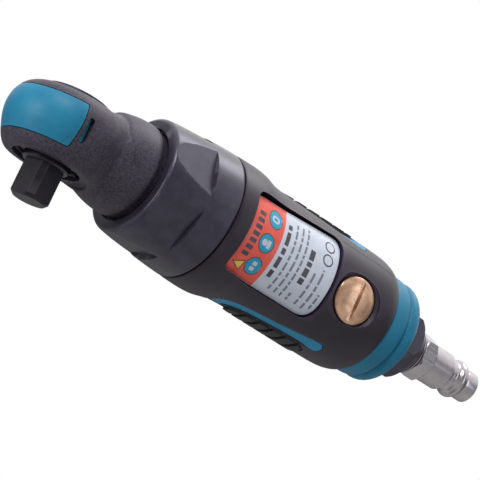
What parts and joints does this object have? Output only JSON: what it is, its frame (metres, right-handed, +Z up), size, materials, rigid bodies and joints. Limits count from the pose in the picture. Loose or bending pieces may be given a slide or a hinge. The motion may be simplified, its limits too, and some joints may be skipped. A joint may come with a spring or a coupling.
{
  "type": "air ratchet",
  "caption": "Compact pneumatic ratchet wrench with a square drive below a round head, a clamp sleeve, a ribbed grip with a side lever and a quick-connect plug.",
  "frame": {"origin": "centre of the square drive's tip face", "axes": "+X along the tool axis towards the air inlet, +Z up the drive axis towards the reversing knob, -Y towards the side with the name plate and the valve plug"},
  "size_m": [0.1785, 0.0484, 0.0421],
  "materials": {
    "cast_steel": "dark phosphated casting, fine grain",
    "black_steel": "black oxide, satin",
    "teal_trim": "teal moulded plastic, satin",
    "black_composite": "black glass-filled nylon, satin",
    "black_rubber": "moulded rubber, matt",
    "steel": "ground bearing steel",
    "nickel": "nickel-plated steel",
    "brass": "turned brass, tarnished",
    "bronze": "sintered bronze",
    "plate": "printed film plate, satin",
    "vane": "fabric-reinforced phenolic",
    "felt": "pressed felt"
  },
  "bodies": {
    "housing": {"head_housing": "cast_steel", "head_cover": "teal_trim", "thrust_washer": "steel", "retaining_ring": "black_steel", "crank_bearing": "steel", "ring_gear": "steel", "clamp_sleeve": "black_steel", "front_bearing": "steel", "front_end_plate": "steel", "motor_cylinder": "steel", "rear_end_plate": "steel", "rear_bearing": "steel", "body_housing": "black_composite", "name_plate": "plate", "grip_frame_top": "teal_trim", "grip_frame_bottom": "teal_trim", "grip_insert_top": "black_rubber", "grip_insert_bottom": "black_rubber", "valve_plug": "brass", "valve_plug_seal": "black_rubber", "valve_spring": "steel", "valve_seat": "brass", "stem_seal": "black_rubber", "lever_pin": "steel", "exhaust_ring": "teal_trim", "muffler_felt": "felt", "inlet_bush": "black_steel", "inlet_screen": "bronze", "air_plug": "nickel"},
    "anvil": {"drive_anvil": "black_steel", "detent_ball": "steel", "pawl_pin": "steel"},
    "pawl": {"pawl": "black_steel"},
    "knob": {"reversing_knob": "black_composite", "selector_spring": "steel", "selector_ball": "steel"},
    "yoke": {"ratchet_yoke": "steel"},
    "crank": {"crankshaft": "steel", "drive_bushing": "bronze", "planet_pin_1": "steel", "planet_pin_2": "steel", "planet_pin_3": "steel"},
    "planet_1": {"planet_gear_1": "steel"},
    "planet_2": {"planet_gear_2": "steel"},
    "planet_3": {"planet_gear_3": "steel"},
    "rotor": {"rotor": "steel", "rotor_vane_1": "vane", "rotor_vane_2": "vane", "rotor_vane_3": "vane", "rotor_vane_4": "vane", "rotor_vane_5": "vane"},
    "lever": {"throttle_lever": "black_composite"},
    "stem": {"valve_stem": "steel"}
  },
  "joints": [
    {"name": "anvil_spin", "type": "hinge", "parent": "housing", "child": "anvil", "pos_m": [0, 0, 0], "axis": [0, 0, 1], "continuous": true},
    {"name": "knob_turn", "type": "hinge", "parent": "anvil", "child": "knob", "pos_m": [0, 0, 0.03], "axis": [0, 0, 1], "range_deg": [0, 60]},
    {"name": "pawl_tilt", "type": "hinge", "parent": "anvil", "child": "pawl", "pos_m": [-0.00146, 0.00478, 0.022], "axis": [0, 0, 1], "range_deg": [-6, 0]},
    {"name": "yoke_rock", "type": "hinge", "parent": "housing", "child": "yoke", "pos_m": [0, 0, 0.022], "axis": [0, 0, 1], "range_deg": [-5.5, 5.5]},
    {"name": "crank_spin", "type": "hinge", "parent": "housing", "child": "crank", "pos_m": [0.022, 0, 0.022], "axis": [1, 0, 0], "continuous": true},
    {"name": "planet_1_spin", "type": "hinge", "parent": "crank", "child": "planet_1", "pos_m": [0.035, 0, 0.02987], "axis": [1, 0, 0], "continuous": true},
    {"name": "planet_2_spin", "type": "hinge", "parent": "crank", "child": "planet_2", "pos_m": [0.035, -0.00682, 0.01806], "axis": [1, 0, 0], "continuous": true},
    {"name": "planet_3_spin", "type": "hinge", "parent": "crank", "child": "planet_3", "pos_m": [0.035, 0.00682, 0.01806], "axis": [1, 0, 0], "continuous": true},
    {"name": "rotor_spin", "type": "hinge", "parent": "housing", "child": "rotor", "pos_m": [0.066, 0, 0.022], "axis": [1, 0, 0], "continuous": true},
    {"name": "lever_press", "type": "hinge", "parent": "housing", "child": "lever", "pos_m": [0.1084, 0.0206, 0.022], "axis": [0, 0, 1], "range_deg": [0, 8.5], "stiffness_Nm_per_rad": 0.5, "springref_deg": -4.58},
    {"name": "stem_slide", "type": "slide", "parent": "housing", "child": "stem", "axis": [0, -1, 0], "range_m": [0, 0.00125], "deforming": ["valve_spring"]}
  ],
  "couplings": [
    {"joint": "pawl_tilt", "follows": "knob_turn", "ratio": -0.1},
    {"joint": "planet_1_spin", "follows": "crank_spin", "ratio": -3.3333},
    {"joint": "planet_2_spin", "follows": "crank_spin", "ratio": -3.3333},
    {"joint": "planet_3_spin", "follows": "crank_spin", "ratio": -3.3333},
    {"joint": "rotor_spin", "follows": "crank_spin", "ratio": 3.5},
    {"joint": "stem_slide", "follows": "lever_press", "m_per_rad": 0.0083}
  ]
}
